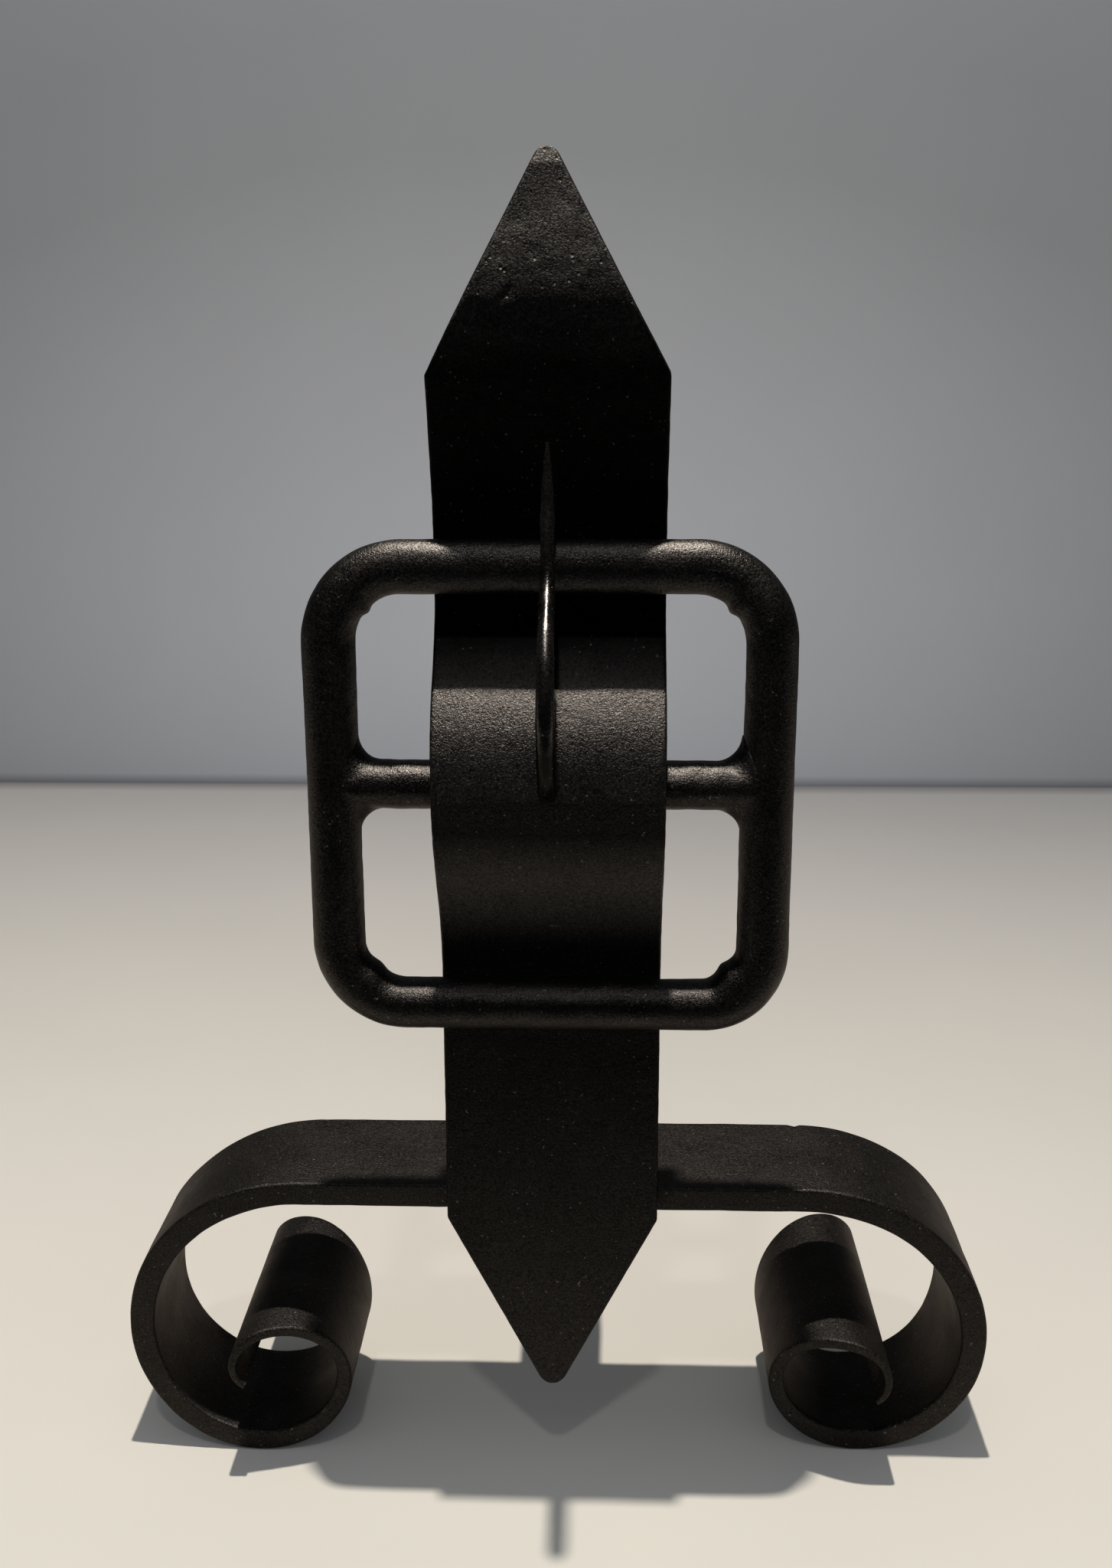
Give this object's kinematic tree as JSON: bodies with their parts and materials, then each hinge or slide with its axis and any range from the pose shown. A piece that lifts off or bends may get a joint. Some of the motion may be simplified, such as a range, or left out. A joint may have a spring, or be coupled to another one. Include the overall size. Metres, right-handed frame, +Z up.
{
  "type": "andiron",
  "caption": "Wrought-iron andiron: a pointed flat strap woven through a round-bar buckle with a tongue, on a scroll-footed cross bar with a rear log bar.",
  "frame": {"origin": "middle of the footprint's bounding box, on the floor", "axes": "+Z up, +Y from the decorated front back into the hearth, +X across the front to the viewer's right"},
  "size_m": [0.2558, 0.413, 0.3676],
  "materials": {
    "blackened_iron": "blackened, waxed, faintly brushed",
    "rubbed_iron": "blackened, rubbed smooth and a little shiny on the high places",
    "weld_iron": "blackened weld bead"
  },
  "bodies": {
    "root": {"strap": "blackened_iron", "log_bar": "blackened_iron", "cross_bar": "blackened_iron", "buckle_frame": "rubbed_iron", "buckle_centre_bar": "rubbed_iron", "buckle_tongue": "rubbed_iron", "log_bar_weld_left": "weld_iron", "log_bar_weld_right": "weld_iron", "strap_side_weld_left": "weld_iron", "strap_side_weld_right": "weld_iron", "strap_top_weld": "weld_iron", "cross_bar_weld_left": "weld_iron", "cross_bar_weld_right": "weld_iron"}
  },
  "joints": []
}
